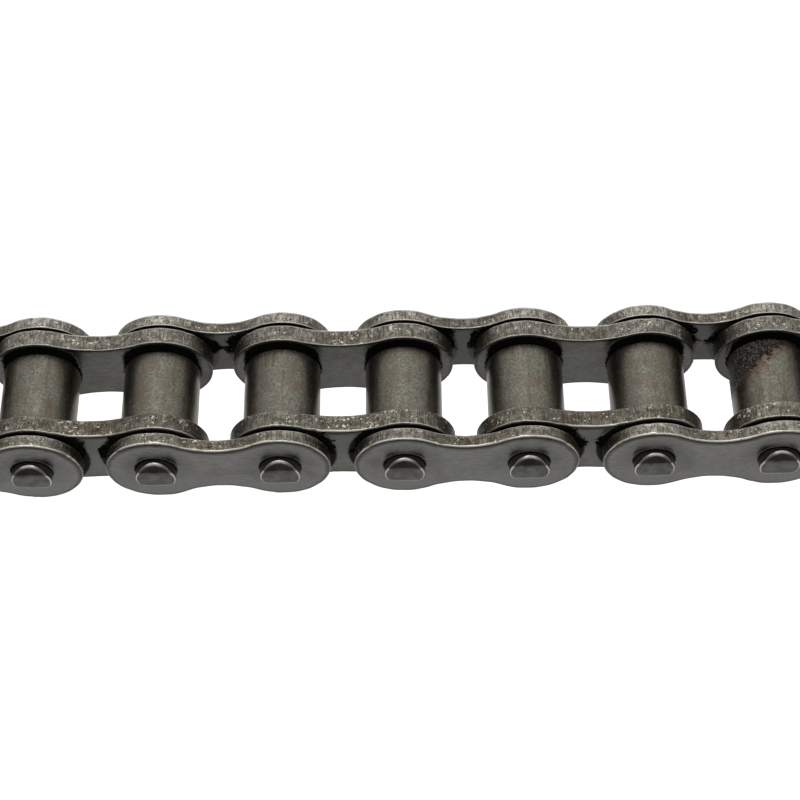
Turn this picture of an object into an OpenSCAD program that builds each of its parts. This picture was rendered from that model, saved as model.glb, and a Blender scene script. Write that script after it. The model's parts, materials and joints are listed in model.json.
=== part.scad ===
// Simplex roller chain strand, ISO 606 size 16B, with an inner link at each end.
// +X runs along the chain, +Y along the pins, +Z across the plates' height.
// The origin is the middle of the strand, on the pitch line.

/* [Strand] */
// Distance between neighbouring pin centres
pitch = 25.4; // [24:0.1:30]
// Number of inner links; an outer link joins each pair of them
inner_links = 5; // [2:1:6]

/* [Roller, bush and pin] */
// Outside diameter of a roller
roller_d = 15.88; // [14.5:0.02:17]
// Length of a roller
roller_l = 16.6; // [14:0.1:16.8]
// Outside diameter of a bush
bush_d = 11.8; // [10.6:0.1:12.4]
// Diameter of a pin
pin_d = 8.28; // [7:0.02:9]
// Overall length of a pin, from one staked end to the other
pin_l = 36.4; // [35:0.1:38]

/* [Plates] */
// Clear width between the two inner plates
inner_width = 17.1; // [17:0.02:18]
// Thickness of an inner plate
inner_plate_t = 4.05; // [3:0.05:4.2]
// Height of an inner plate over its round ends
inner_plate_h = 21; // [18:0.1:22]
// Height of an inner plate at its waist
inner_waist_h = 15.9; // [13:0.1:17]
// Thickness of an outer plate
outer_plate_t = 3; // [2.5:0.05:3.4]
// Height of an outer plate over its round ends
outer_plate_h = 20.6; // [18:0.1:22]
// Height of an outer plate at its waist
outer_waist_h = 13.6; // [11:0.1:17]

/* [Fits] */
// Diametral clearance between a pin and its bush
pin_play = 0.05; // [0.02:0.01:0.1]
// Diametral clearance between a bush and its roller
roller_play = 0.12; // [0.02:0.01:0.2]
// Clear gap between an inner plate and the outer plate beside it
plate_gap = 0.45; // [0.1:0.01:0.6]
// Distance that a bush stands out of each inner plate
bush_stand = 0.05; // [0:0.01:0.08]

/* [Edges] */
// Chamfer at the ends of a roller
roller_chamfer = 0.6; // [0.1:0.05:0.8]
// Chamfer at the ends of a bush
bush_chamfer = 0.3; // [0.1:0.05:0.6]
// Chamfer round the ends of a pin
pin_chamfer = 0.25; // [0.1:0.05:0.5]
// Depth of the two staked flats, at the pin's rim
stake_depth = 1.3; // [0.5:0.1:1.5]
// Width of the flat left between the two staked flats
stake_land = 4.8; // [3:0.1:6]

/* [Hidden] */
$fn = 96;
overlap = 0.5;
bush_l = inner_width + 2 * (inner_plate_t + bush_stand);
inner_plate_y = (inner_width + inner_plate_t) / 2;
outer_plate_y = inner_width / 2 + inner_plate_t + plate_gap + outer_plate_t / 2;
last_station = 2 * inner_links - 1;
stake_angle = atan2(stake_depth, (pin_d - stake_land) / 2);

// Stations are the pin and bush centres along X, numbered from 0 at the left end.
function station_x(i) = (i - last_station / 2) * pitch;
function link_x(first_station) = (station_x(first_station) + station_x(first_station + 1)) / 2;

SIDES = [-1, 1];
LINK_SIDES = ["left", "right"];
PLATE_SIDES = ["front", "back"];

function inner_name(k, piece) = str("inner_link_", k, "_", piece);
function outer_name(k, piece) = str("outer_link_", k, "_", piece);

// Turns a shape made along Z so that it lies along the pins.
module along_pins() rotate([-90, 0, 0]) children();

// One link plate's outline: two round ends, joined by concave flanks that meet them smoothly.
module plate_outline(height, waist) {
    end_r = height / 2;
    waist_r = waist / 2;
    flank_r = ((pitch / 2) ^ 2 + waist_r ^ 2 - end_r ^ 2) / (2 * (end_r - waist_r));
    flank_y = waist_r + flank_r;
    meet_x = pitch / 2 * flank_r / (end_r + flank_r);
    meet_y = flank_y * end_r / (end_r + flank_r);
    for (side = SIDES) translate([side * pitch / 2, 0]) circle(r = end_r);
    difference() {
        square([2 * meet_x, 2 * meet_y], center = true);
        for (side = SIDES) translate([0, side * flank_y]) circle(r = flank_r);
    }
}

// A link plate centred on its link, with a seat for a bush or a pin at each end.
module link_plate(height, waist, thickness, seat_d) {
    along_pins() difference() {
        linear_extrude(height = thickness, center = true) plate_outline(height, waist);
        for (side = SIDES)
            translate([side * pitch / 2, 0, 0])
                cylinder(d = seat_d, h = thickness + 2 * overlap, center = true);
    }
}

// A tube along the pins with chamfered outer ends.
module chamfered_tube(outer_d, inner_d, length, chamfer) {
    along_pins() rotate_extrude()
        polygon([
            [inner_d / 2, -length / 2],
            [outer_d / 2 - chamfer, -length / 2],
            [outer_d / 2, -length / 2 + chamfer],
            [outer_d / 2, length / 2 - chamfer],
            [outer_d / 2 - chamfer, length / 2],
            [inner_d / 2, length / 2]
        ]);
}

module inner_plate() color("#5c5a56") link_plate(inner_plate_h, inner_waist_h, inner_plate_t, bush_d);

module outer_plate() color("#5f5e5b") link_plate(outer_plate_h, outer_waist_h, outer_plate_t, pin_d);

module bush() color("#57534d") chamfered_tube(bush_d, pin_d + pin_play, bush_l, bush_chamfer);

module roller() color("#6e675d") chamfered_tube(roller_d, bush_d + roller_play, roller_l, roller_chamfer);

// Cuts one sloping flat across a pin's end; end and side choose which of the four.
module staked_flat(end, side) {
    translate([0, end * pin_l / 2, side * stake_land / 2])
        rotate([end * side * stake_angle, 0, 0])
            translate([0, end * pin_d / 2, side * pin_d / 2])
                cube([2 * pin_d, pin_d, 2 * pin_d], center = true);
}

// A pin, riveted by staking two flats across each end, above and below.
module pin() {
    color("#6a6661") difference() {
        along_pins() union() {
            cylinder(d = pin_d, h = pin_l - 2 * pin_chamfer, center = true);
            for (end = SIDES)
                rotate([90 - end * 90, 0, 0])
                    translate([0, 0, pin_l / 2 - pin_chamfer])
                        cylinder(d1 = pin_d, d2 = pin_d - 2 * pin_chamfer, h = pin_chamfer);
        }
        for (end = SIDES, side = SIDES) staked_flat(end, side);
    }
}

// Inner link k lies between stations 2k - 2 and 2k - 1.
for (k = [1:inner_links], s = [0, 1]) {
    first = 2 * k - 2;
    plate_at = [link_x(first), SIDES[s] * inner_plate_y, 0];
    station_at = [station_x(first + s), 0, 0];
    plate_name = inner_name(k, str(PLATE_SIDES[s], "_plate"));
    bush_name = inner_name(k, str(LINK_SIDES[s], "_bush"));
    roller_name = inner_name(k, str(LINK_SIDES[s], "_roller"));
    translate(plate_at) inner_plate();
    translate(station_at) bush();
    translate(station_at) roller();
}

// Outer link k lies between stations 2k - 1 and 2k, and its pins run through their bushes.
for (k = [1:inner_links - 1], s = [0, 1]) {
    first = 2 * k - 1;
    plate_at = [link_x(first), SIDES[s] * outer_plate_y, 0];
    station_at = [station_x(first + s), 0, 0];
    plate_name = outer_name(k, str(PLATE_SIDES[s], "_plate"));
    pin_name = outer_name(k, str(LINK_SIDES[s], "_pin"));
    translate(plate_at) outer_plate();
    translate(station_at) pin();
}
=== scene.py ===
import json
import math

import bpy
import numpy as np
from mathutils import Matrix, Vector
from mathutils.geometry import tessellate_polygon


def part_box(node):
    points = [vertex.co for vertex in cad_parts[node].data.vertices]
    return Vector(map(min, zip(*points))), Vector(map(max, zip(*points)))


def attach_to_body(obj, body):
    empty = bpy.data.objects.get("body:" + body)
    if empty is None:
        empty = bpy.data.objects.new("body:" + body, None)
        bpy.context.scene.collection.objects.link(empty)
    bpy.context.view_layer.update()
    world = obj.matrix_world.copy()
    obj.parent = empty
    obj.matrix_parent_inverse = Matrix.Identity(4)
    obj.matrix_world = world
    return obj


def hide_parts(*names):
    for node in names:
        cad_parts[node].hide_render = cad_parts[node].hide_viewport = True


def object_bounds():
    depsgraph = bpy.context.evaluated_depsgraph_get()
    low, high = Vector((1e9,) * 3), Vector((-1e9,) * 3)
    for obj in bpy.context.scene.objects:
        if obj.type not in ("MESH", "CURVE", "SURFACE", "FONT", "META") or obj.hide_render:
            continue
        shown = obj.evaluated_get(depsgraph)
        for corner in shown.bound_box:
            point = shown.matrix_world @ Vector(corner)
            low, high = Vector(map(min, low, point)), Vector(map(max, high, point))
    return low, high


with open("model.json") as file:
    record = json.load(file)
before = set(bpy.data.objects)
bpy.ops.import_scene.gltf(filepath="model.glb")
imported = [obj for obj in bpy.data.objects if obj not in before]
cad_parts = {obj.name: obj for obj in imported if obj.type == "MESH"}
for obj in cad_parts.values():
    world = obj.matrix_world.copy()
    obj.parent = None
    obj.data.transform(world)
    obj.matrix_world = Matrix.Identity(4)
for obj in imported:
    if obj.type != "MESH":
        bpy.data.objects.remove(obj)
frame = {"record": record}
cad_low, cad_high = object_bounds()

# The looks of a strand of simplex roller chain. Every plate, pin, roller and bush is built again with the
# rounded, worn edges of the real piece, in the place that the frame gives it.
# Lengths in the mesh code are millimetres. Blender's own values are metres.
MM = 0.001

# ---------------------------------------------------------------- sizes from the frame


def size_mm(node):
    """A CAD node's extent along X, Y and Z."""
    low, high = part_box(node)
    return (high - low) / MM


def centre_mm(node):
    low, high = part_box(node)
    return (high + low) / (2 * MM)


INNER_PLATE = size_mm("inner_link_1_front_plate")
OUTER_PLATE = size_mm("outer_link_1_front_plate")
ROLLER = size_mm("inner_link_1_left_roller")
BUSH = size_mm("inner_link_1_left_bush")
PIN = size_mm("outer_link_1_left_pin")
PITCH = INNER_PLATE.x - INNER_PLATE.z

INNER_WAIST = 15.9
OUTER_WAIST = 13.6
PIN_PLAY = 0.05
ROLLER_PLAY = 0.12
STAKE_DEPTH = 1.3
STAKE_LAND = 4.8

# ---------------------------------------------------------------- meshes


def make_piece(name, points, faces, attributes):
    """A smooth-shaded object from points in millimetres. Its attributes are floats or vectors per point."""
    mesh = bpy.data.meshes.new(name)
    mesh.from_pydata((np.asarray(points) * MM).tolist(), [], faces)
    mesh.polygons.foreach_set("use_smooth", [True] * len(mesh.polygons))
    for key, values in attributes.items():
        values = np.asarray(values, np.float32)
        if values.ndim == 2:
            attribute = mesh.attributes.new(key, "FLOAT_VECTOR", "POINT")
            attribute.data.foreach_set("vector", values.ravel())
        else:
            attribute = mesh.attributes.new(key, "FLOAT", "POINT")
            attribute.data.foreach_set("value", values)
    mesh.validate()
    mesh.update()
    piece = bpy.data.objects.new(name, mesh)
    bpy.context.scene.collection.objects.link(piece)
    return piece


def ring_faces(first, second):
    """Quads between two closed rows of as many points each."""
    return list(zip(first, first[1:] + first[:1], second[1:] + second[:1], second))


def loop_faces(first, second, count):
    """Quads between two closed rows of points that start at these indices."""
    return ring_faces(list(range(first, first + count)), list(range(second, second + count)))


def wander(rng, positions, length, waves, size):
    """Random smooth bumps of about this size, along positions on a closed loop of this length."""
    total = np.zeros_like(positions)
    for wave in waves:
        phase = rng.uniform(0, 2 * math.pi)
        total += rng.uniform(0.5, 1.0) * np.sin(2 * math.pi * wave * positions / length + phase)
    return size * total / math.sqrt(len(waves))


def nicks(rng, positions, length):
    """A few small dents along an edge, as a wider rounding over a short stretch."""
    dents = np.zeros_like(positions)
    for _ in range(rng.randint(5, 10)):
        distance = abs(positions - rng.uniform(0, length))
        distance = np.minimum(distance, length - distance)
        dents += rng.uniform(0.08, 0.22) * np.exp(-(distance / rng.uniform(0.3, 0.7)) ** 2)
    return np.minimum(dents, 0.3)


def quarter(radius, steps):
    """Rows of a rounded edge, from face to side: (inset from the side, depth below the face, turn)."""
    rows = []
    for step in range(steps + 1):
        angle = math.pi / 2 * step / steps
        rows.append((radius * (1 - math.sin(angle)), radius * (1 - math.cos(angle)), step / steps))
    return rows


def plate_outline(height, waist, step):
    """A link plate's outline: its points, outward normals, distances along it, and its length."""
    end_r = height / 2
    waist_r = waist / 2
    flank_r = ((PITCH / 2) ** 2 + waist_r**2 - end_r**2) / (2 * (end_r - waist_r))
    flank_w = waist_r + flank_r
    lean = math.atan2(flank_w, PITCH / 2)
    turn = math.pi
    # centre, radius, first angle, sweep; a negative sweep is a hollow flank
    arcs = [
        ((PITCH / 2, 0), end_r, lean - turn, 2 * (turn - lean)),
        ((0, flank_w), flank_r, -lean, 2 * lean - turn),
        ((-PITCH / 2, 0), end_r, lean, 2 * (turn - lean)),
        ((0, -flank_w), flank_r, turn - lean, 2 * lean - turn),
    ]
    points, normals, along = [], [], []
    travelled = 0
    for centre, radius, start, sweep in arcs:
        length = abs(sweep) * radius
        count = round(length / step)
        for k in range(count):
            angle = start + sweep * k / count
            direction = np.array([math.cos(angle), math.sin(angle)])
            points.append(np.array(centre) + radius * direction)
            normals.append(direction if sweep > 0 else -direction)
            along.append(travelled + length * k / count)
        travelled += length
    return np.array(points), np.array(normals), np.array(along), travelled


OUTLINE_STEP = 0.33
OUTWARD_EDGE_R = 0.62
INWARD_EDGE_R = 0.32
EDGE_STEPS = 6
# the edges wander in waves, each this many to an outline, by this share of their radius
EDGE_WAVES = (2, 5, 9, 17, 31)
EDGE_WANDER = 0.16
RIM_ROWS = 9
# how far a torn rim steps back, how rough it is, and the share of the rim that stays smooth
TEAR_SLOPE = 0.045
TEAR_ROUGH = 0.03
TEAR_WAVES = (57, 83, 131, 171)
SMOOTH_RIM = 0.35
# a row this far past a rounded edge keeps the flat beside it flat
SUPPORT = 0.12
FACE_MARGIN = 0.8
SEAT_EDGE_R = 0.15
SEAT_EDGE_STEPS = 3
SEAT_POINTS = 72
# how polished each plate's rim is, with painted light in that share, by slot: on the front plates, and on the
# back ones, which are painted lighter
FRONT_POLISH_AND_LIGHT = {"outer_plate": 0.5, "inner_plate": 0.3}
BACK_POLISH_AND_LIGHT = {"outer_plate": 0.95, "inner_plate": 0.5}
EXTRA_POLISH_AND_LIGHT = {"outer_link_4_front_plate": 0.4}
# the strand's end links, and the side of each that has no neighbour
FREE_ENDS = {"inner_link_1": -1, "inner_link_5": 1}


def rim_rows(rng, outside, thickness, along, length):
    """Rows round a plate from its front face to its back one: (inset, level, turn).

    An inset is one number, or one for each point of the outline. turn is -1 on the faces, 0 where an edge
    starts, and 1 on the rim. The rim is smooth towards the plate's outside and torn towards its inside, as a
    punch leaves it.
    """
    half = thickness / 2
    plain_r = {outside: OUTWARD_EDGE_R, -outside: INWARD_EDGE_R}
    edge_r = {}
    for side in (-1, 1):
        edge_r[side] = plain_r[side] * (1 + wander(rng, along, length, EDGE_WAVES, EDGE_WANDER))
        edge_r[side] += nicks(rng, along, length)
    steps = quarter(1, EDGE_STEPS)
    rows = [(edge_r[-1] + FACE_MARGIN, -half, -1.0)]
    for inset, depth, turn in steps:
        rows.append((inset * edge_r[-1], -half + depth * edge_r[-1], turn))
    for k in range(1, RIM_ROWS):
        share = k / RIM_ROWS
        level = -half + plain_r[-1] + share * (thickness - plain_r[-1] - plain_r[1])
        torn = max(0.0, share - SMOOTH_RIM) if outside < 0 else max(0.0, 1 - SMOOTH_RIM - share)
        rough = abs(wander(rng, along, length, TEAR_WAVES, TEAR_ROUGH))
        rough += rng.uniform(0, TEAR_ROUGH, len(along))
        rows.append((TEAR_SLOPE * torn + rough * min(1, 4 * torn), level, 1.0))
    for inset, depth, turn in reversed(steps):
        rows.append((inset * edge_r[1], half - depth * edge_r[1], turn))
    rows.append((edge_r[1] + FACE_MARGIN, half, -1.0))
    return rows


def seat_rings(middle_x, seat_r, half):
    """The rows of a pin's or bush's seat through a plate, from its front face to its back one."""
    angles = np.linspace(0, 2 * math.pi, SEAT_POINTS, endpoint=False)
    rows = [(SEAT_EDGE_R + SUPPORT, 0.0)]
    rows += [(inset, depth) for inset, depth, _ in quarter(SEAT_EDGE_R, SEAT_EDGE_STEPS)]
    levels = [(widen, -half + depth) for widen, depth in rows]
    levels += [(widen, half - depth) for widen, depth in reversed(rows)]
    rings = []
    for widen, level in levels:
        xs = middle_x + (seat_r + widen) * np.cos(angles)
        zs = (seat_r + widen) * np.sin(angles)
        rings.append(np.column_stack([xs, np.full(SEAT_POINTS, level), zs]))
    return rings


def flat_faces(points, loops, flip):
    """Triangles over a plate's flat face, whose loops are its outline and its seats."""
    order = [i for loop in loops for i in loop]
    flat_loops = [[Vector((*points[i][[0, 2]], 0)) for i in loop] for loop in loops]
    faces = []
    for a, b, c in tessellate_polygon(flat_loops):
        triangle = (order[a], order[b], order[c])
        corners = points[list(triangle)][:, [0, 2]]
        ux, uy = corners[1] - corners[0]
        vx, vy = corners[2] - corners[0]
        anticlockwise = ux * vy - uy * vx > 0
        faces.append(triangle if anticlockwise != flip else triangle[::-1])
    return faces


def link_plate(name, body, node, slot, height, waist, seat_r, seed):
    """A punched plate. Its rim has a wide rounding outward, a sheared band, a torn band and a small edge."""
    rng = np.random.RandomState(seed)
    thickness = size_mm(node).y
    centre = centre_mm(node)
    outside = 1 if centre.y > 0 else -1
    outline, normals, along, length = plate_outline(height, waist, OUTLINE_STEP)
    count = len(outline)
    # the rim's polished share, with painted light: larger on the back plates
    rim_polish_and_light = (BACK_POLISH_AND_LIGHT if outside > 0 else FRONT_POLISH_AND_LIGHT)[slot]
    rim_polish_and_light += rng.uniform(-0.1, 0.1) + EXTRA_POLISH_AND_LIGHT.get(node, 0.0)

    points = []
    turns = []
    faces = []
    rows = rim_rows(rng, outside, thickness, along, length)
    for inset, level, turn in rows:
        at = outline - normals * (np.zeros(count) + inset)[:, None]
        points.append(np.column_stack([at[:, 0], np.zeros(count) + level, at[:, 1]]))
        turns += [turn] * count
    for k in range(len(rows) - 1):
        faces += loop_faces((k + 1) * count, k * count, count)
    total = len(rows) * count
    front_loops = [list(range(count))]
    back_loops = [list(range(total - count, total))]

    for side in (-1, 1):
        first = total
        rings = seat_rings(side * PITCH / 2, seat_r, thickness / 2)
        points += rings
        total += len(rings) * SEAT_POINTS
        turns += [-1.0] * (total - first)
        for k in range(len(rings) - 1):
            faces += loop_faces(first + k * SEAT_POINTS, first + (k + 1) * SEAT_POINTS, SEAT_POINTS)
        front_loops.append(list(range(first, first + SEAT_POINTS)))
        back_loops.append(list(range(total - SEAT_POINTS, total)))

    points = np.concatenate(points)
    faces += flat_faces(points, front_loops, flip=False)
    faces += flat_faces(points, back_loops, flip=True)
    local = points * np.array([1, outside, 1])
    joined = np.where(points[:, 0] * FREE_ENDS.get(body, 0) > 1, 0.0, 1.0)
    looks = {"local": local, "turn": turns, "rim_polish_and_light": np.full(len(points), rim_polish_and_light), "joined": joined}
    piece = make_piece(name, points + np.array(centre), faces, looks)
    attach(piece, body, node, slot)


ROLLER_EDGE_R = 0.36
ROLLER_BORE_EDGE_R = 0.3
ROLLER_SEGMENTS = 112
BUSH_EDGE_R = 0.3
BUSH_BORE_EDGE_R = 0.25
BUSH_SEGMENTS = 96
BORE_EDGE_STEPS = 3
GRIMY_ROLLER = "inner_link_5_left_roller"


def turned(name, body, node, slot, profile, segments):
    """A piece turned about the pin's axis. profile is a closed loop of (radius, Y, wear)."""
    centre = centre_mm(node)
    angles = np.linspace(0, 2 * math.pi, segments, endpoint=False)
    points = []
    edge = []
    faces = []
    for radius, level, wear_and_highlight in profile:
        ring = [radius * np.cos(angles), np.full(segments, level), radius * np.sin(angles)]
        points.append(np.column_stack(ring))
        edge += [wear_and_highlight] * segments
    for k in range(len(profile)):
        faces += loop_faces((k + 1) % len(profile) * segments, k * segments, segments)
    local = np.concatenate(points)
    grime = np.full(len(local), 1.0 if node == GRIMY_ROLLER else 0.0)
    looks = {"local": local, "edge": edge, "grime": grime}
    piece = make_piece(name, local + np.array(centre), faces, looks)
    attach(piece, body, node, slot)


def sleeve_profile(outer_r, inner_r, length, outer_edge, inner_edge, outer_steps):
    """A sleeve's section, with rounded edges outside and inside at both ends."""
    half = length / 2
    profile = []
    for end in (-1, 1):
        outer = [(outer_r - inset, end * (half - depth), math.sin(math.pi * turn))
                 for inset, depth, turn in quarter(outer_edge, outer_steps)]
        inner = [(inner_r + inset, end * (half - depth), math.sin(math.pi * turn))
                 for inset, depth, turn in quarter(inner_edge, BORE_EDGE_STEPS)]
        outer_support = (outer_r, end * (half - outer_edge - SUPPORT), 0)
        inner_support = (inner_r, end * (half - inner_edge - SUPPORT), 0)
        flat = [
            (outer_r - outer_edge - SUPPORT / 2, end * half, 0),
            (inner_r + inner_edge + SUPPORT / 2, end * half, 0),
        ]
        run = [outer_support] + outer[::-1] + flat + inner + [inner_support]
        profile += run[::-1] if end < 0 else run
    return profile


CREASE_R = 0.22


def stake_sink(height):
    """How far a pin's end lies below its middle flat at this height, with a softly rounded crease."""
    slope = STAKE_DEPTH / ((PIN.x - STAKE_LAND) / 2)
    over = abs(height) - STAKE_LAND / 2
    return slope * CREASE_R * math.log1p(math.exp(min(over / CREASE_R, 50)))


PIN_EDGE_R = 0.6
PIN_EDGE_STEPS = 6
PIN_ROWS = 44
PIN_COLUMNS = 10
# how worn a pin's end is at its top and bottom and along the crease beside its flat, where it also carries a
# painted highlight, and the crease's width
POLE_WEAR = 0.2
CREASE_WEAR_AND_HIGHLIGHT = 0.75
CREASE_WIDTH = 0.16
# how far the staking spreads the end, and over what length
BURR = 0.12
BURR_LENGTH = 0.85
DENT = 0.03
DENT_WAVES = (2, 3, 5, 8, 13)


def end_disc(radius):
    """A pin's end seen along the pin: its points (X, Z, wear), its faces, and the loop round its border."""
    wide = PIN_COLUMNS + 1
    points = [(0, -radius, POLE_WEAR)]
    for row in range(1, PIN_ROWS):
        tilt = math.pi * (row / PIN_ROWS - 0.5)
        height = radius * math.sin(tilt)
        crease = abs(abs(height) - STAKE_LAND / 2)
        wear_and_highlight = CREASE_WEAR_AND_HIGHLIGHT * math.exp(-(crease / CREASE_WIDTH) ** 2)
        for column in range(wide):
            across = 2 * column / PIN_COLUMNS - 1
            points.append((across * radius * math.cos(tilt), height, wear_and_highlight))
    points.append((0, radius, POLE_WEAR))

    def index(row, column):
        if row == 0:
            return 0
        if row == PIN_ROWS:
            return len(points) - 1
        return 1 + wide * (row - 1) + column

    faces = []
    for row in range(PIN_ROWS):
        for column in range(PIN_COLUMNS):
            corners = [index(row, column), index(row, column + 1)]
            corners += [index(row + 1, column + 1), index(row + 1, column)]
            faces.append(tuple(dict.fromkeys(corners)))
    border = [index(row, PIN_COLUMNS) for row in range(PIN_ROWS)]
    border += [index(row, 0) for row in range(PIN_ROWS, 0, -1)]
    return points, faces, border


def pin(name, body, node, slot, seed):
    """A pin whose ends were staked with two sloping flats, which spread the metal above and below."""
    rng = np.random.RandomState(seed)
    centre = centre_mm(node)
    radius = PIN.x / 2
    half = PIN.y / 2
    disc_r = radius - PIN_EDGE_R
    disc, disc_faces, border = end_disc(disc_r)
    angles = [math.atan2(disc[i][1], disc[i][0]) for i in border]
    count = len(border)
    levels = [(PIN_EDGE_R - inset, depth, math.sin(math.pi * turn))
              for inset, depth, turn in quarter(PIN_EDGE_R, PIN_EDGE_STEPS)[1:]]
    levels += [(PIN_EDGE_R, PIN_EDGE_R + 0.1, 0.2), (PIN_EDGE_R, BURR_LENGTH, 0)]
    points = []
    edge = []
    shank = []
    faces = []
    ends = []
    for end in (-1, 1):
        first = len(points)
        for x, z, wear_and_highlight in disc:
            points.append((x, end * (half - stake_sink(z)), z))
            edge.append(wear_and_highlight)
            shank.append(0.0)
        cap = [tuple(first + i for i in face) for face in disc_faces]
        dents = wander(rng, np.arange(count, dtype=float), count, DENT_WAVES, DENT)
        previous = [first + i for i in border]
        for grow, drop, wear_and_highlight in levels:
            current = list(range(len(points), len(points) + count))
            for angle, dent in zip(angles, dents):
                spread = BURR * abs(math.sin(angle)) * min(1, max(0, (BURR_LENGTH - drop) / BURR_LENGTH))
                at_r = disc_r + grow + (spread + dent * 0.5) * grow / PIN_EDGE_R * (drop < BURR_LENGTH)
                x, z = at_r * math.cos(angle), at_r * math.sin(angle)
                points.append((x, end * (half - stake_sink(z) - drop), z))
                edge.append(wear_and_highlight)
                shank.append(1.0 if drop > PIN_EDGE_R + 0.15 else 0.0)
            cap += ring_faces(current, previous)
            previous = current
        current = list(range(len(points), len(points) + count))
        plain = half - STAKE_DEPTH - BURR_LENGTH - 0.3
        for angle in angles:
            points.append((radius * math.cos(angle), end * plain, radius * math.sin(angle)))
            edge.append(0)
            shank.append(1.0)
        cap += ring_faces(current, previous)
        faces += cap if end < 0 else [face[::-1] for face in cap]
        ends.append(current)
    faces += ring_faces(ends[1], ends[0])
    local = np.array(points)
    looks = {"local": local, "edge": edge, "shank": shank}
    piece = make_piece(name, local + np.array(centre), faces, looks)
    attach(piece, body, node, slot)


def attach(piece, body, node, slot):
    """Puts a piece on its body, in its CAD node's place, with its slot's material."""
    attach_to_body(piece, body)
    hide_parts(node)
    piece.data.materials.append(MATERIALS[slot])


# ---------------------------------------------------------------- materials


def srgb(red, green, blue):
    """A colour as it looks on a screen, 0 to 255, as Blender's linear colour."""
    shares = (red / 255, green / 255, blue / 255)
    linear = [c / 12.92 if c <= 0.04 else ((c + 0.055) / 1.055) ** 2.4 for c in shares]
    return (*linear, 1.0)


class Nodes:
    """Short calls for building the nodes of a material or a sky."""

    def __init__(self, tree):
        self.tree = tree
        self.nodes = tree.nodes

    def put(self, socket, value):
        if isinstance(value, bpy.types.NodeSocket):
            self.tree.links.new(value, socket)
        else:
            socket.default_value = value

    def math(self, operation, first, second=0.0):
        node = self.nodes.new("ShaderNodeMath")
        node.operation = operation
        self.put(node.inputs[0], first)
        self.put(node.inputs[1], second)
        return node.outputs[0]

    def millimetres(self):
        """The piece's own coordinates, in millimetres; they move with it."""
        place = self.nodes.new("ShaderNodeTexCoord")
        return self.stretch(place.outputs["Object"], (1 / MM, 1 / MM, 1 / MM))

    def stretch(self, vector, factors):
        node = self.nodes.new("ShaderNodeVectorMath")
        node.operation = "MULTIPLY"
        self.put(node.inputs[0], vector)
        node.inputs[1].default_value = factors
        return node.outputs[0]

    def attribute(self, name):
        node = self.nodes.new("ShaderNodeAttribute")
        node.attribute_name = name
        return node

    def parts(self, vector):
        node = self.nodes.new("ShaderNodeSeparateXYZ")
        self.put(node.inputs[0], vector)
        return node.outputs

    def noise(self, vector, scale, detail=3.0, roughness=0.5):
        node = self.nodes.new("ShaderNodeTexNoise")
        self.put(node.inputs["Vector"], vector)
        node.inputs["Scale"].default_value = scale
        node.inputs["Detail"].default_value = detail
        node.inputs["Roughness"].default_value = roughness
        return node.outputs[0]

    def fade(self, value, start, end, low=0.0, high=1.0):
        """A smooth step from low at start to high at end."""
        node = self.nodes.new("ShaderNodeMapRange")
        node.interpolation_type = "SMOOTHSTEP"
        self.put(node.inputs["Value"], value)
        node.inputs["From Min"].default_value = start
        node.inputs["From Max"].default_value = end
        node.inputs["To Min"].default_value = low
        node.inputs["To Max"].default_value = high
        return node.outputs[0]

    def colour(self, factor, first, second):
        node = self.nodes.new("ShaderNodeMix")
        node.data_type = "RGBA"
        self.put(node.inputs[0], factor)
        self.put(node.inputs[6], first)
        self.put(node.inputs[7], second)
        return node.outputs[2]

    def blend(self, factor, first, second):
        node = self.nodes.new("ShaderNodeMix")
        self.put(node.inputs[0], factor)
        self.put(node.inputs[2], first)
        self.put(node.inputs[3], second)
        return node.outputs[0]

    def bump(self, height, depth_mm, under=None):
        """Bumps as deep as depth_mm where height goes from 0 to 1."""
        node = self.nodes.new("ShaderNodeBump")
        node.inputs["Strength"].default_value = 1.0
        node.inputs["Distance"].default_value = depth_mm * MM
        self.put(node.inputs["Height"], height)
        if under is not None:
            self.put(node.inputs["Normal"], under)
        return node.outputs[0]


class Shader(Nodes):
    """A new material with one Principled surface."""

    def __init__(self, name):
        self.material = bpy.data.materials.new(name)
        self.material.use_nodes = True
        super().__init__(self.material.node_tree)
        self.bsdf = self.nodes["Principled BSDF"]

    def surface(self, name, value):
        self.put(self.bsdf.inputs[name], value)


# the colour of greasy dirt, also used for painted shade
GREASE_AND_SHADE = srgb(13, 12, 11)
OILY = srgb(38, 36, 32)
RUST = srgb(92, 72, 56)
# the bright colour of worn edges, which also serves as a painted highlight
WORN_AND_HIGHLIGHT = srgb(178, 174, 165)


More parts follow.
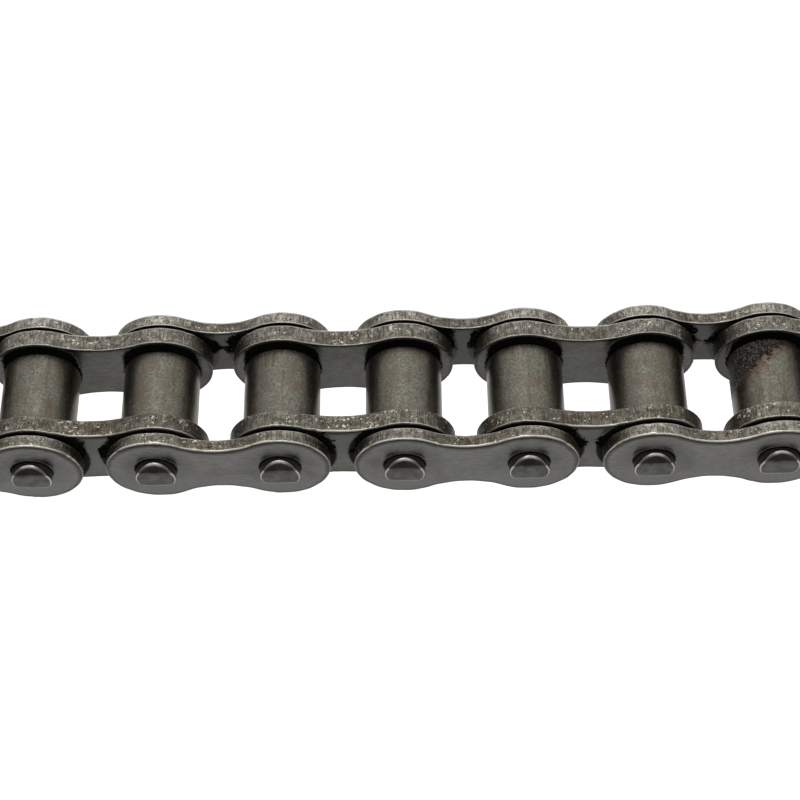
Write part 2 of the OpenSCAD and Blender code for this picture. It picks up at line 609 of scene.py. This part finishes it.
class PlateSteel(Shader):
    """Punched plate: mottled rolled faces, a speckled and patchy rim, bright worn edges with a painted
    highlight along their tops, greasy corners, and painted shade and light on the faces, below the edges, in
    the gaps, round the pins and round the rollers' ends.

    lobe_r is the radius of the neighbouring plate's lobe, which shades this plate's face. The attribute
    "local" is measured from the plate's middle, with its Y positive on the strand's outside.
    """

    def __init__(self, name, dark, light, lobe_r, is_inner, top_edge_wear_and_highlight):
        super().__init__(name)
        self.lobe_r = lobe_r
        self.is_inner = is_inner
        self.mm = self.millimetres()
        self.across = self.parts(self.mm)[1]
        self.along, self.outward, self.up = self.parts(self.attribute("local").outputs["Vector"])
        self.turn = self.attribute("turn").outputs["Fac"]
        self.rim = self.fade(self.turn, 0.55, 0.9)
        self.to_station = self.math("SUBTRACT", self.math("ABSOLUTE", self.along), PITCH / 2)
        self.radial = self.distance(self.to_station, self.up)
        self.mottle = self.noise(self.stretch(self.mm, (0.45, 1, 1)), 1.3, 5, 0.62)
        self.broad = self.noise(self.mm, 0.16, 3)
        crumbs = self.noise(self.mm, 2.8, 3, 0.75)
        streaks = self.noise(self.stretch(self.mm, (1, 0.14, 1)), 3.2, 3, 0.7)
        self.patches = self.noise(self.mm, 0.2, 3, 0.55)
        self.crumbly = self.fade(self.patches, 0.42, 0.58)
        self.speckle = self.blend(self.fade(self.crumbly, 0, 1, 0.8, 0.35), crumbs, streaks)

        wear_and_highlight = self.worn_and_highlit_edges(top_edge_wear_and_highlight)
        tone = self.colour(self.rim, self.face_tone(dark, light), self.rim_tone())
        # painted shade below the edges
        tone = self.colour(self.shoulder_shade(), tone, srgb(44, 42, 39))
        # worn edges, with a painted highlight
        tone = self.colour(wear_and_highlight, tone, WORN_AND_HIGHLIGHT)
        grease_and_shade, tone = self.greased(tone)
        self.finish(tone, wear_and_highlight, grease_and_shade)

    def distance(self, first, second):
        squares = self.math("ADD", self.math("POWER", first, 2), self.math("POWER", second, 2))
        return self.math("SQRT", squares)

    def face_tone(self, dark, light):
        """The rolled faces, with scuffs, painted shade from the neighbouring plates high on the inner plates'
        outsides and on the outer plates' insides, and a painted reflection of the floor that lightens the
        outer plates towards the bottom.
        """
        face = self.colour(self.fade(self.mottle, 0.3, 0.7), dark, light)
        face = self.colour(self.fade(self.broad, 0.5, 0.75, 0, 0.35), face, srgb(52, 50, 48))
        scuffs = self.fade(self.noise(self.mm, 1.0, 4, 0.7), 0.62, 0.70)
        scuffs = self.math("MULTIPLY", scuffs, self.fade(self.noise(self.mm, 0.14, 2), 0.55, 0.65))
        face = self.colour(self.math("MULTIPLY", scuffs, 0.7), face, srgb(34, 33, 31))
        if self.is_inner:
            # painted shade on the inner plates' outsides, darker towards the top
            shade = self.fade(self.up, -5.0, 4.0, 0.0, 0.6)
            shade = self.math("MULTIPLY", shade, self.fade(self.outward, -0.2, 0.2))
        else:
            # painted reflection of the floor: the outer plates lighter towards the bottom
            face = self.colour(self.fade(self.up, -1.0, -9.0, 0, 0.6), face, srgb(106, 105, 102))
            # painted shade on the outer plates' insides
            shade = self.fade(self.outward, 0.2, -0.2, 0, 0.6)
        return self.colour(shade, face, srgb(56, 55, 52))

    def rim_tone(self):
        """The punched rim: dull or crumbly, with rust, pits and glints, and polished bright in a share that
        also carries painted light, more towards the lobes' tops and on the back plates.
        """
        dull = self.colour(self.fade(self.speckle, 0.38, 0.64), srgb(68, 66, 57), srgb(98, 94, 83))
        rough = self.colour(self.fade(self.speckle, 0.37, 0.63), srgb(50, 45, 38), srgb(114, 107, 94))
        tone = self.colour(self.crumbly, dull, rough)
        rust_spots = self.fade(self.noise(self.mm, 0.3, 4, 0.6), 0.5, 0.64, 0, 0.75)
        rust_tone = self.colour(self.fade(self.speckle, 0.4, 0.62), srgb(46, 35, 26), RUST)
        tone = self.colour(rust_spots, tone, rust_tone)
        height = self.math("ABSOLUTE", self.up)
        # polished and painted light: the rim lighter towards the lobes' tops, by each plate's share
        polish_and_sheen = self.fade(height, self.lobe_r - 3.2, self.lobe_r - 0.6, 0.25, 0.95)
        polish_and_sheen = self.math("MULTIPLY", self.attribute("rim_polish_and_light").outputs["Fac"], polish_and_sheen)
        bright = self.colour(self.fade(self.speckle, 0.36, 0.64), srgb(98, 95, 87), srgb(180, 176, 165))
        tone = self.colour(polish_and_sheen, tone, bright)
        clumps = self.noise(self.mm, 0.7, 3, 0.6)
        tone = self.colour(self.fade(clumps, 0.56, 0.44, 0, 0.45), tone, srgb(48, 45, 40))
        pits = self.fade(self.noise(self.mm, 1.4, 3, 0.7), 0.38, 0.31)
        pits = self.math("MULTIPLY", pits, self.fade(self.crumbly, 0, 1, 0.3, 0.8))
        tone = self.colour(pits, tone, srgb(24, 21, 17))
        crowding = self.fade(self.patches, 0.54, 0.62, 0.0, 0.055 if self.is_inner else 0.015)
        glints = self.math("ADD", self.noise(self.mm, 1.3, 2, 0.6), crowding)
        return self.colour(self.fade(glints, 0.64, 0.69, 0, 0.9), tone, srgb(190, 185, 174))

    def shoulder_shade(self):
        """Painted shade where the face bends down to its edge."""
        shoulder_shade = self.math("MULTIPLY", self.fade(self.turn, -0.9, 0.1), self.fade(self.turn, 0.55, 0.4))
        return self.math("MULTIPLY", shoulder_shade, 0.75)

    def worn_and_highlit_edges(self, top_edge_wear_and_highlight):
        """The bright band along the edges: worn metal with a painted highlight, brightest on top."""
        chipped = self.noise(self.mm, 1.1, 4, 0.6)
        band = self.math("MULTIPLY", self.fade(self.turn, 0.45, 0.65), self.fade(self.turn, 1.0, 0.85))
        wear_and_highlight = self.math("MULTIPLY", band, self.fade(chipped, 0.3, 0.5, 0.45, 1.0))
        # painted highlight: the edges brighter towards the top
        return self.math("MULTIPLY", wear_and_highlight, self.fade(self.up, -1.0, 8.0, 0.12, top_edge_wear_and_highlight))

    def greased(self, tone):
        """How greasy each place is, with painted shade in the gaps beside the neighbouring plates, round the
        pins and round the rollers' ends, and the tone with all of it on.
        """
        warp = self.math("MULTIPLY", self.math("SUBTRACT", self.noise(self.mm, 0.25, 2, 0.5), 0.5), 7.0)
        fray = self.math("MULTIPLY", self.math("SUBTRACT", self.noise(self.mm, 1.3, 4, 0.75), 0.5), 3.0)
        warped = self.math("ADD", self.radial, self.math("ADD", warp, fray))
        upper = self.fade(self.math("ADD", self.up, fray), -2.0, 0.5)
        corner = self.fade(warped, self.lobe_r + 1.3, self.lobe_r + 0.9)
        corner = self.math("MULTIPLY", corner, upper)
        # greasy dirt and painted shade in the gap beside the neighbouring plate's lobe
        beside = self.fade(self.radial, self.lobe_r + 1.6, self.lobe_r + 0.9)
        beside = self.math("MULTIPLY", beside, self.fade(self.turn, 0.85, 0.7))
        on_face = self.fade(self.turn, 0.65, 0.5)
        outside = self.math("MULTIPLY", self.fade(self.outward, -0.2, 0.2), on_face)
        inside = self.math("MULTIPLY", self.fade(self.outward, 0.2, -0.2), on_face)
        if self.is_inner:
            corner = self.math("MULTIPLY", corner, outside)
            beside = self.math("MULTIPLY", beside, self.fade(self.outward, -0.2, 0.2))
            ring = self.roller_shadow_ring(fray, inside)
        else:
            corner = self.math("MULTIPLY", corner, inside)
            beside = self.math("MULTIPLY", beside, self.fade(self.outward, 0.2, -0.2))
            # painted shadow round a pin, centred a little above it, on the outside of an outer plate
            to_pin = self.distance(self.to_station, self.math("SUBTRACT", self.up, 0.6))
            frayed = self.math("ADD", to_pin, self.math("MULTIPLY", fray, 0.25))
            ring = self.math("MULTIPLY", self.fade(frayed, 4.7, 4.1), outside)
            # painted shade round and above the pins
            tone = self.colour(self.shade_above_pin(to_pin, outside), tone, srgb(46, 45, 42))
        flecks = self.fade(self.noise(self.mm, 1.9, 3, 0.6), 0.60, 0.70, 1.0, 0.35)
        grease_and_shade = self.math("MAXIMUM", self.math("MULTIPLY", corner, flecks), ring)
        beside = self.math("MULTIPLY", beside, self.fade(self.across, -1.0, 1.0, 0.85, 0.3))
        grease_and_shade = self.math("MAXIMUM", grease_and_shade, beside)
        joined = self.fade(self.attribute("joined").outputs["Fac"], 0.3, 0.7)
        grease_and_shade = self.math("MULTIPLY", grease_and_shade, joined)
        tone = self.colour(grease_and_shade, tone, GREASE_AND_SHADE)
        bleed = self.math("MULTIPLY", corner, self.fade(self.noise(self.mm, 0.8, 3, 0.6), 0.69, 0.74))
        return grease_and_shade, self.colour(bleed, tone, srgb(140, 92, 44))

    def roller_shadow_ring(self, fray, inside):
        """Painted shadow round a roller's end, as dark as oil, on the inside of an inner plate, reaching
        further out towards the top.
        """
        frayed = self.math("ADD", self.radial, self.math("MULTIPLY", fray, 0.4))
        ring_r = self.math("SUBTRACT", frayed, self.fade(self.up, 1.5, 8.0, 0, 1.9))
        return self.math("MULTIPLY", self.fade(ring_r, 8.5, 7.9), inside)

    def shade_above_pin(self, to_pin, outside):
        """Painted shade round and above a pin, on the outside of an outer plate."""
        shade_above = self.math("MULTIPLY", self.fade(to_pin, 10.0, 4.2, 0.0, 0.6), self.fade(self.up, -5.0, 3.0))
        spread = self.math("MULTIPLY", outside, self.fade(self.broad, 0.35, 0.6, 1.0, 0.55))
        return self.math("MULTIPLY", shade_above, spread)

    def finish(self, tone, wear_and_highlight, grease_and_shade):
        """Sets the surface from its tone, from where it is worn and lit by a painted highlight, and from
        where it is greasy or painted shade.
        """
        rough = self.fade(self.mottle, 0.3, 0.7, 0.30, 0.24)
        rough = self.blend(self.rim, rough, self.fade(self.speckle, 0.35, 0.65, 0.5, 0.34))
        rough = self.blend(wear_and_highlight, rough, 0.22)
        rough = self.blend(grease_and_shade, rough, 0.38)
        grain = self.noise(self.stretch(self.mm, (0.3, 1, 1)), 5.0, 2, 0.6)
        height = self.blend(self.rim, self.math("MULTIPLY", grain, 0.12), self.speckle)
        normal = self.bump(height, 0.09)
        lumps = self.math("MULTIPLY", grease_and_shade, self.noise(self.mm, 1.4, 4, 0.65))
        self.surface("Base Color", tone)
        self.surface("Metallic", self.fade(grease_and_shade, 0, 1, 1.0, 0.0))
        self.surface("Specular IOR Level", 0.0)
        self.surface("Roughness", rough)
        self.surface("Normal", self.bump(lumps, 0.3, normal))


def roller_steel(name):
    """Satin sleeve: fine grain, olive and brown patches, a thin worn edge made lighter also as a painted
    highlight, and greasy ends.
    """
    s = Shader(name)
    mm = s.millimetres()
    along, level, _ = s.parts(s.attribute("local").outputs["Vector"])
    edge = s.attribute("edge").outputs["Fac"]
    grain = s.noise(mm, 2.2, 4, 0.75)
    streaks = s.noise(s.stretch(mm, (1, 0.12, 1)), 0.8, 3, 0.6)
    patches = s.noise(mm, 0.35, 3, 0.6)
    tone = s.colour(s.fade(grain, 0.38, 0.62), srgb(95, 94, 85), srgb(128, 126, 115))
    tone = s.colour(s.fade(patches, 0.42, 0.62, 0, 0.6), tone, srgb(106, 94, 83))
    tone = s.colour(s.fade(streaks, 0.52, 0.72, 0, 0.5), tone, srgb(84, 66, 52))
    ends = s.fade(s.math("ABSOLUTE", level), ROLLER.y / 2 - 0.7, ROLLER.y / 2)
    dirt = s.math("ADD", ends, s.math("MULTIPLY", s.noise(mm, 0.7, 4, 0.6), 0.8))
    dirt = s.fade(dirt, 1.2, 1.6, 0, 0.5)
    tone = s.colour(dirt, tone, GREASE_AND_SHADE)
    # the edge lighter, worn and as a painted highlight
    tone = s.colour(s.fade(edge, 0.3, 0.9, 0, 0.6), tone, srgb(128, 124, 115))
    # the crust that one roller carries, at its back end and down its left side
    grime = s.attribute("grime").outputs["Fac"]
    lumps = s.noise(mm, 1.0, 5, 0.7)
    reach = s.math("SUBTRACT", level, s.math("MULTIPLY", along, 0.8))
    reach = s.math("ADD", reach, s.math("MULTIPLY", s.math("SUBTRACT", lumps, 0.5), 9.0))
    stain = s.math("MULTIPLY", s.fade(reach, 2.0, 5.5), grime)
    crust = s.math("MULTIPLY", s.fade(reach, 5.0, 6.2), grime)
    tone = s.colour(s.math("MULTIPLY", stain, 0.8), tone, srgb(78, 56, 42))
    crust_tone = s.colour(s.fade(s.noise(mm, 2.5, 3, 0.7), 0.45, 0.65), GREASE_AND_SHADE, srgb(84, 78, 76))
    tone = s.colour(crust, tone, crust_tone)
    dull = s.math("MAXIMUM", dirt, crust)
    s.surface("Base Color", tone)
    s.surface("Metallic", s.fade(dull, 0, 1, 1.0, 0.2))
    s.surface("Specular IOR Level", 0.1)
    s.surface("Roughness", s.blend(crust, s.fade(grain, 0.3, 0.7, 0.28, 0.34), 0.45))
    s.surface("Normal", s.bump(s.math("MULTIPLY", crust, lumps), 0.5, s.bump(grain, 0.012)))
    return s.material


def pin_steel(name):
    """Pin: dull staked ends whose struck slopes are darker as painted shade, bright worn rims with a painted
    highlight that is brightest at the middle, and oil round the shank where it leaves the plate.
    """
    s = Shader(name)
    mm = s.millimetres()
    across, _, up = s.parts(s.attribute("local").outputs["Vector"])
    edge = s.attribute("edge").outputs["Fac"]
    shank = s.attribute("shank").outputs["Fac"]
    grain = s.noise(mm, 2.4, 4, 0.65)
    broad = s.noise(mm, 0.5, 3)
    tone = s.colour(s.fade(broad, 0.35, 0.65), srgb(54, 53, 51), srgb(72, 71, 68))
    struck = s.fade(s.math("ABSOLUTE", up), STAKE_LAND / 2 - 0.1, STAKE_LAND / 2 + 0.4)
    # painted shade: the struck slopes darker
    tone = s.colour(s.math("MULTIPLY", struck, 0.55), tone, srgb(38, 36, 32))
    tone = s.colour(shank, tone, OILY)
    wear_and_highlight = s.fade(s.math("ADD", edge, s.math("MULTIPLY", grain, 0.5)), 0.85, 1.25)
    aside = s.math("ABSOLUTE", across)
    # painted highlight: the rim brighter at the middle than at its sides
    wear_and_highlight = s.math("MULTIPLY", wear_and_highlight, s.blend(struck, 1.0, s.fade(aside, 0.8, 2.2, 1.0, 0.45)))
    middle = s.fade(aside, 2.4, 0.6)
    polish_and_sheen = s.colour(struck, srgb(156, 153, 146), s.colour(middle, srgb(116, 113, 107), srgb(158, 155, 148)))
    tone = s.colour(wear_and_highlight, tone, polish_and_sheen)
    s.surface("Base Color", tone)
    s.surface("Metallic", s.fade(s.math("SUBTRACT", shank, wear_and_highlight), 0, 1, 1.0, 0.1))
    s.surface("Specular IOR Level", 0.2)
    rough = s.blend(struck, s.fade(grain, 0.3, 0.7, 0.22, 0.30), 0.38)
    s.surface("Roughness", s.blend(wear_and_highlight, rough, 0.22))
    s.surface("Normal", s.bump(grain, 0.01))
    return s.material


def bush_steel(name):
    """Bush: oiled tube, brown in the bore."""
    s = Shader(name)
    mm = s.millimetres()
    edge = s.attribute("edge").outputs["Fac"]
    grain = s.noise(mm, 1.8, 4, 0.6)
    oil = s.noise(s.stretch(mm, (1, 0.2, 1)), 0.5, 3)
    tone = s.colour(s.fade(grain, 0.3, 0.7), srgb(92, 87, 80), srgb(122, 116, 106))
    tone = s.colour(s.fade(oil, 0.4, 0.7, 0, 0.6), tone, srgb(60, 48, 36))
    wear_and_highlight = s.fade(s.math("ADD", edge, s.math("MULTIPLY", grain, 0.5)), 0.6, 1.1)
    tone = s.colour(wear_and_highlight, tone, WORN_AND_HIGHLIGHT)
    s.surface("Base Color", tone)
    s.surface("Metallic", 1.0)
    s.surface("Roughness", s.fade(grain, 0.3, 0.7, 0.30, 0.42))
    s.surface("Normal", s.bump(grain, 0.006))
    return s.material


MATERIALS = {
    "outer_plate": PlateSteel(
        "outer_plate_steel", srgb(84, 83, 81), srgb(96, 95, 92),
        lobe_r=INNER_PLATE.z / 2, is_inner=False, top_edge_wear_and_highlight=0.95).material,
    "inner_plate": PlateSteel(
        "inner_plate_steel", srgb(80, 79, 76), srgb(92, 91, 87),
        lobe_r=OUTER_PLATE.z / 2, is_inner=True, top_edge_wear_and_highlight=0.7).material,
    "roller": roller_steel("roller_steel"),
    "pin": pin_steel("pin_steel"),
    "bush": bush_steel("bush_steel"),
}

# ---------------------------------------------------------------- the pieces

ROLLER_PROFILE = sleeve_profile(
    ROLLER.x / 2, (BUSH.x + ROLLER_PLAY) / 2, ROLLER.y, ROLLER_EDGE_R, ROLLER_BORE_EDGE_R, outer_steps=6)
BUSH_PROFILE = sleeve_profile(
    BUSH.x / 2, (PIN.x + PIN_PLAY) / 2, BUSH.y, BUSH_EDGE_R, BUSH_BORE_EDGE_R, outer_steps=4)


def build_piece(body, node, slot, seed):
    """The visual piece of one CAD node."""
    name = f"{node}_steel"
    if slot == "outer_plate":
        link_plate(name, body, node, slot, OUTER_PLATE.z, OUTER_WAIST, PIN.x / 2, seed)
    elif slot == "inner_plate":
        link_plate(name, body, node, slot, INNER_PLATE.z, INNER_WAIST, BUSH.x / 2, seed)
    elif slot == "roller":
        turned(name, body, node, slot, ROLLER_PROFILE, ROLLER_SEGMENTS)
    elif slot == "bush":
        turned(name, body, node, slot, BUSH_PROFILE, BUSH_SEGMENTS)
    else:
        pin(name, body, node, slot, seed)


def build_strand():
    node_slots = {part["node"]: part["material_slot"] for part in frame["record"]["subparts"]}
    seed = 1
    for body, members in frame["record"]["behaviour"]["bodies"].items():
        for node in members:
            build_piece(body, node, node_slots[node], seed)
            seed += 1


build_strand()

# ---------------------------------------------------------------- studio


def aim(obj, place, target, roll=0.0):
    """Puts a lamp or camera at place, looking at target, turned by roll about its line of sight."""
    direction = (Vector(target) - Vector(place)).normalized()
    turn = direction.to_track_quat("-Z", "Y").to_matrix().to_4x4()
    obj.matrix_world = Matrix.Translation(Vector(place)) @ turn @ Matrix.Rotation(roll, 4, "Z")


def softbox(name, place, target, size, power):
    lamp = bpy.data.lights.new(name, "AREA")
    lamp.shape = "RECTANGLE"
    lamp.size, lamp.size_y = size
    lamp.energy = power
    obj = bpy.data.objects.new(name, lamp)
    bpy.context.scene.collection.objects.link(obj)
    aim(obj, place, target)


FLOOR_HALF = 3.0
FLOOR_LEVEL = -0.105
FLOOR_ALBEDO = 0.5
# the light table's own light, which fades towards the camera from TABLE_FRONT to TABLE_FADE, along Y,
# down to the share TABLE_REST
TABLE_GLOW = 0.55
TABLE_FRONT = -0.05
TABLE_FADE = -0.14
TABLE_REST = 0.4
TENT_LEVEL = 1.0
ARCH_LEVEL = 1.5
ARCH_WIDTH = 0.5
BACKDROP_LEVEL = 1.0
# how bright the floor and the sky are to the camera; over 1, so that they are plain white in the picture
SEEN_WHITE = 1.15


def white_plane(name, level):
    """A wide level plane, and the nodes of its white material."""
    half = FLOOR_HALF
    corners = [(-half, -half, level), (half, -half, level), (half, half, level), (-half, half, level)]
    mesh = bpy.data.meshes.new(name)
    mesh.from_pydata(corners, [], [(0, 1, 2, 3)])
    plane = bpy.data.objects.new(name, mesh)
    bpy.context.scene.collection.objects.link(plane)
    s = Shader(f"{name}_white")
    mesh.materials.append(s.material)
    s.surface("Roughness", 1.0)
    s.surface("Specular IOR Level", 0.0)
    s.surface("Emission Color", (1, 1, 1, 1))
    return plane, s


def pale_floor():
    """A plain white floor, far enough down for the strand to hang at every pose."""
    _, s = white_plane("floor", FLOOR_LEVEL)
    seen = s.nodes.new("ShaderNodeLightPath").outputs["Is Camera Ray"]
    s.surface("Base Color", s.blend(seen, FLOOR_ALBEDO, 0.0))
    s.surface("Emission Strength", s.blend(seen, TABLE_GLOW, SEEN_WHITE))


def light_table():
    """Light from under the strand, as from a white table at its lowest edge. It isn't seen directly."""
    table, s = white_plane("light_table", cad_low[2])
    table.visible_camera = False
    place = s.nodes.new("ShaderNodeTexCoord").outputs["Object"]
    lit = s.fade(s.parts(place)[1], TABLE_FADE, TABLE_FRONT, TABLE_REST)
    s.surface("Base Color", s.math("MULTIPLY", lit, FLOOR_ALBEDO))
    s.surface("Emission Strength", s.math("MULTIPLY", lit, TABLE_GLOW))


def soft_sky():
    """A light tent with a bright arch along the chain, dark towards the camera. Seen directly it is white."""
    world = bpy.data.worlds.new("studio")
    bpy.context.scene.world = world
    world.use_nodes = True
    s = Nodes(world.node_tree)
    direction = s.nodes.new("ShaderNodeTexCoord").outputs["Generated"]
    _, back, high = s.parts(direction)
    arch = s.fade(s.math("ABSOLUTE", back), ARCH_WIDTH, 0.0, 0.0, ARCH_LEVEL)
    backdrop = s.fade(back, 0.55, 1.0, 0.0, BACKDROP_LEVEL)
    rising = s.math("MULTIPLY", s.fade(high, -0.05, 0.3), 0.3)
    rising = s.math("ADD", rising, s.math("MULTIPLY", high, 0.7))
    tent = s.math("MULTIPLY", s.math("ADD", arch, TENT_LEVEL), s.math("MAXIMUM", rising, 0.02))
    light = s.math("ADD", tent, s.math("MULTIPLY", backdrop, s.fade(high, -0.1, 0.1)))
    seen = s.nodes.new("ShaderNodeLightPath").outputs["Is Camera Ray"]
    s.put(s.nodes["Background"].inputs["Strength"], s.blend(seen, light, SEEN_WHITE))
    s.nodes["Background"].inputs["Color"].default_value = (1, 1, 1, 1)


def studio():
    pale_floor()
    light_table()
    soft_sky()
    softbox("overhead_softbox", (-0.06, 0.0, 0.6), (0, 0, 0), (0.5, 0.15), 0.6)
    bpy.context.scene.view_settings.view_transform = "Standard"


def camera():
    """A camera in front of the strand and above it, turned a little, at the photo's angle."""
    azimuth = math.radians(-1.2)
    elevation = math.radians(57.3)
    roll = math.radians(-2.15)
    distance = 0.3945
    target = Vector((0.0119, 0.00015, -0.0002))
    level = math.cos(elevation)
    toward = Vector((math.sin(azimuth) * level, math.cos(azimuth) * level, -math.sin(elevation)))
    data = bpy.data.cameras.new("camera")
    data.sensor_width = 36
    data.lens = 85
    data.clip_start = 0.01
    obj = bpy.data.objects.new("camera", data)
    bpy.context.scene.collection.objects.link(obj)
    aim(obj, target - distance * toward, target, roll)
    bpy.context.scene.camera = obj


studio()
camera()
